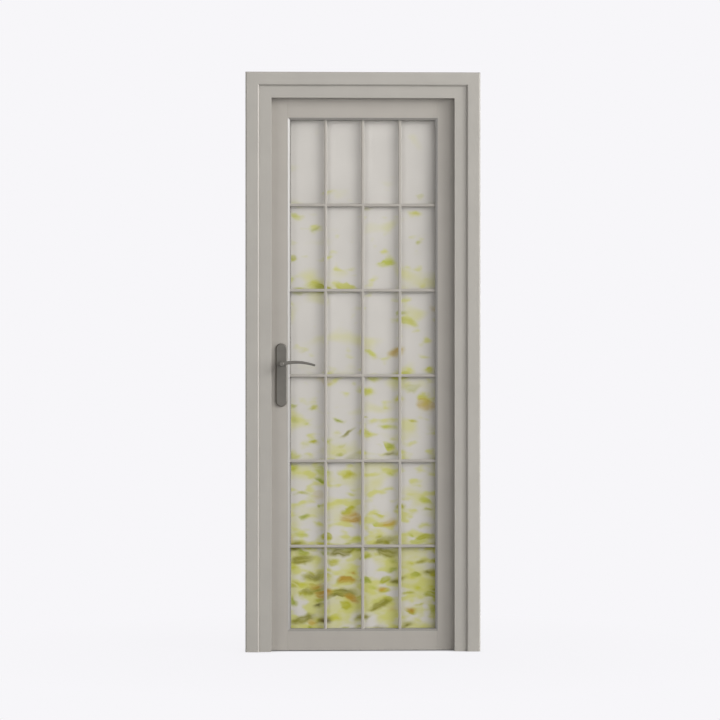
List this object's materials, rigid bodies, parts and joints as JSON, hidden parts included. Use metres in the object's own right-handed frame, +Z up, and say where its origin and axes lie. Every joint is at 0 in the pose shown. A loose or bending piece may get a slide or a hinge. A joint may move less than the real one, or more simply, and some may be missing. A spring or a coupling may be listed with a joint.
{
  "type": "glazed hinged door with frame",
  "caption": "Single glazed door leaf with a bar grid over frosted glass, hinged in a cased metal frame, with lever handles on both faces.",
  "frame": {"origin": "foot of the hinge jamb's outer face, where it meets the wall, at mid wall thickness on the floor", "axes": "+X out of the hinge jamb into the wall, +Y through the wall to the side the leaf opens to, +Z up"},
  "size_m": [0.852, 0.176, 2.1],
  "materials": {
    "frame_coat": "satin powder coat, warm grey",
    "leaf_coat": "satin powder coat, warm grey",
    "frosted_glass": "frosted, with a printed pattern of leaf dabs",
    "seal_rubber": "matt",
    "hinge_coat": "satin powder coat, warm grey",
    "bright_steel": "brushed",
    "dark_handle": "satin dark grey plating"
  },
  "bodies": {
    "frame": {"hinge_jamb": "frame_coat", "head_jamb": "frame_coat", "lock_jamb": "frame_coat", "front_casing_hinge_side": "frame_coat", "front_casing_head": "frame_coat", "front_casing_lock_side": "frame_coat", "rear_casing_hinge_side": "frame_coat", "rear_casing_head": "frame_coat", "rear_casing_lock_side": "frame_coat", "hinge_side_seal": "seal_rubber", "head_seal": "seal_rubber", "lock_side_seal": "seal_rubber", "bottom_hinge_frame_half": "hinge_coat", "middle_hinge_frame_half": "hinge_coat", "top_hinge_frame_half": "hinge_coat", "strike_plate": "bright_steel"},
    "leaf": {"lock_stile": "leaf_coat", "hinge_stile": "leaf_coat", "top_rail": "leaf_coat", "bottom_rail": "leaf_coat", "front_bead_hinge_side": "leaf_coat", "front_bead_top": "leaf_coat", "front_bead_lock_side": "leaf_coat", "front_bead_bottom": "leaf_coat", "rear_bead_hinge_side": "leaf_coat", "rear_bead_top": "leaf_coat", "rear_bead_lock_side": "leaf_coat", "rear_bead_bottom": "leaf_coat", "front_glazing_bars": "leaf_coat", "rear_glazing_bars": "leaf_coat", "glass_pane": "frosted_glass", "front_handle_plate": "dark_handle", "rear_handle_plate": "dark_handle", "bottom_hinge_leaf_half": "hinge_coat", "middle_hinge_leaf_half": "hinge_coat", "top_hinge_leaf_half": "hinge_coat", "latch_faceplate": "bright_steel", "latch_bolt": "bright_steel"},
    "lever": {"front_lever": "dark_handle", "rear_lever": "dark_handle", "lever_spindle": "bright_steel"}
  },
  "joints": [
    {"name": "leaf_swing", "type": "hinge", "parent": "frame", "child": "leaf", "pos_m": [-0.0405, 0.048, 0], "axis": [0, 0, -1], "range_deg": [0, 110]},
    {"name": "lever_turn", "type": "hinge", "parent": "leaf", "child": "lever", "pos_m": [-0.6825, 0.013, 1.042], "axis": [0, 1, 0], "range_deg": [0, 45], "stiffness_Nm_per_rad": 1.5, "springref_deg": -22.92}
  ]
}
